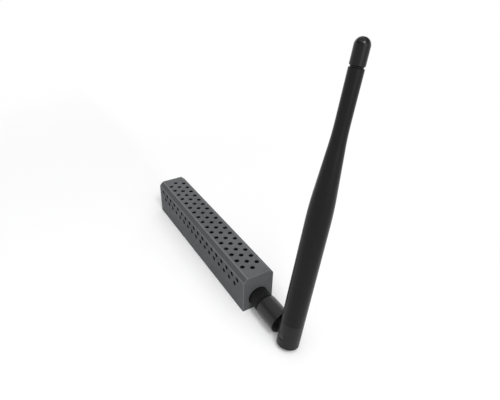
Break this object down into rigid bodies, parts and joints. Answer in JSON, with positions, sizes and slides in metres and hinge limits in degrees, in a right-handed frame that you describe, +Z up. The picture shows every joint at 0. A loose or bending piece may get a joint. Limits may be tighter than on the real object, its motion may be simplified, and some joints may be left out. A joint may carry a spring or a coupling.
{
  "type": "zigbee ethernet gateway",
  "caption": "Slim vented gateway box with a network socket at one end and a tall whip aerial on a swivelling, tilting elbow at the other.",
  "frame": {"origin": "middle of the housing's flat underside", "axes": "+Z up, +Y along the housing towards the network socket, X across the housing; the aerial is at the -Y end"},
  "size_m": [0.0459, 0.1684, 0.1625],
  "materials": {
    "housing_plastic": "fine matte moulded grain",
    "ring_plastic": "matte black, knurled",
    "antenna_plastic": "satin black",
    "black_plastic": "matte",
    "white_insulator": "smooth",
    "cable_black": "smooth jacket",
    "board": "solder resist over glass laminate",
    "shield_metal": "tinned sheet",
    "screw_steel": "blackened",
    "pin_metal": "blackened",
    "can_metal": "satin",
    "gold_contact": "gold plated"
  },
  "bodies": {
    "housing": {"housing_shell": "housing_plastic", "bottom_cover": "housing_plastic", "cover_screws": "screw_steel", "board_screws": "screw_steel", "main_board": "board", "ethernet_jack_shell": "shield_metal", "ethernet_jack_insert": "black_plastic", "ethernet_jack_contacts": "gold_contact", "usb_socket_shell": "shield_metal", "usb_socket_insert": "black_plastic", "radio_module_board": "board", "radio_module_shield": "shield_metal", "processor_module_board": "board", "processor_module_shield": "shield_metal", "ethernet_chip": "black_plastic", "voltage_regulator": "black_plastic", "clock_crystal": "shield_metal", "bulk_capacitor": "can_metal", "antenna_jack_body": "gold_contact", "antenna_jack_insulator": "white_insulator", "antenna_jack_contact": "gold_contact", "antenna_jack_washer": "shield_metal", "antenna_jack_nut": "gold_contact", "pigtail_cable": "cable_black", "pigtail_socket": "white_insulator", "pigtail_plug": "gold_contact", "coupling_grip": "ring_plastic", "coupling_nut": "gold_contact", "snap_ring": "screw_steel", "plug_body": "gold_contact", "plug_insulator": "white_insulator", "plug_pin": "gold_contact"},
    "elbow": {"elbow": "antenna_plastic", "feed_cable_lower": "cable_black"},
    "whip": {"whip_base": "antenna_plastic", "hinge_pins": "pin_metal", "whip_sleeve": "antenna_plastic", "tip_cap": "antenna_plastic", "feed_cable_upper": "cable_black", "ground_tube": "gold_contact", "radiator_wire": "gold_contact"}
  },
  "joints": [
    {"name": "antenna_swivel", "type": "hinge", "parent": "housing", "child": "elbow", "pos_m": [0, -0.0732, 0.0085], "axis": [0, 1, 0], "continuous": true},
    {"name": "antenna_tilt", "type": "hinge", "parent": "elbow", "child": "whip", "pos_m": [0, -0.0974, 0.0085], "axis": [0.9785, 0, -0.2062], "range_deg": [0, 93.9]}
  ]
}
